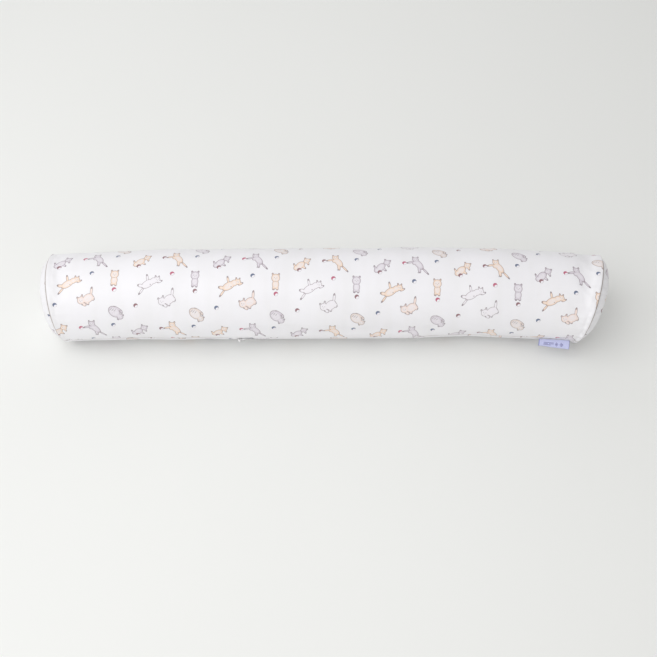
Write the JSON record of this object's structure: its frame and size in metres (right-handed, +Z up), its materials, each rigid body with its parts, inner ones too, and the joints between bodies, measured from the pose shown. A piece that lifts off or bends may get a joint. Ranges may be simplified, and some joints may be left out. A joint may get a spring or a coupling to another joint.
{
  "type": "bolster pillow",
  "caption": "Long round bolster pillow in a printed satin cover with domed sewn-in ends, a concealed zip in the long seam, a folded label and a fibre-filled insert",
  "frame": {"origin": "middle of the pillow's length, below the middle line of the straight stretch, on the plane of the flattened underside that it rests on", "axes": "+X along the pillow's length towards the end with the label, +Y to the back, away from the long seam, +Z up"},
  "size_m": [0.9369, 0.1711, 0.1487],
  "materials": {
    "cover_satin": "printed satin",
    "liner_cotton": "plain woven cotton",
    "fibre_fill": "polyester fibre",
    "seam_thread": "sewing thread",
    "zip_tape": "woven tape",
    "zip_coil": "nylon coil",
    "zip_metal": "plated zinc",
    "label_ribbon": "woven satin ribbon"
  },
  "bodies": {
    "pillow": {"cover_barrel": "cover_satin", "cover_end_left": "cover_satin", "cover_end_right": "cover_satin", "end_seam_thread_left": "seam_thread", "end_seam_thread_right": "seam_thread", "long_seam_thread_left": "seam_thread", "long_seam_thread_right": "seam_thread", "zip_tape_upper": "zip_tape", "zip_tape_lower": "zip_tape", "zip_coil_upper": "zip_coil", "zip_coil_lower": "zip_coil", "zip_stop_closed": "zip_metal", "zip_stop_open": "zip_metal", "liner_barrel": "liner_cotton", "liner_end_left": "liner_cotton", "liner_end_right": "liner_cotton", "filling_core": "fibre_fill"},
    "slider": {"zip_slider": "zip_metal"},
    "pull": {"zip_pull_tab": "zip_metal"},
    "label": {"woven_label": "label_ribbon"}
  },
  "joints": [
    {"name": "zip_slide", "type": "slide", "parent": "pillow", "child": "slider", "axis": [1, 0, 0], "range_m": [0, 0.2775]},
    {"name": "pull_swing", "type": "hinge", "parent": "slider", "child": "pull", "pos_m": [-0.13875, -0.07205, 0.0389], "axis": [0, 0.4226, -0.9063], "range_deg": [0, 170]},
    {"name": "label_fold", "type": "hinge", "parent": "pillow", "child": "label", "pos_m": [0.38247, -0.07836, 0.03898], "axis": [0.9973, -0.0732, 0], "range_deg": [-50, 35], "stiffness_Nm_per_rad": 0.002}
  ]
}
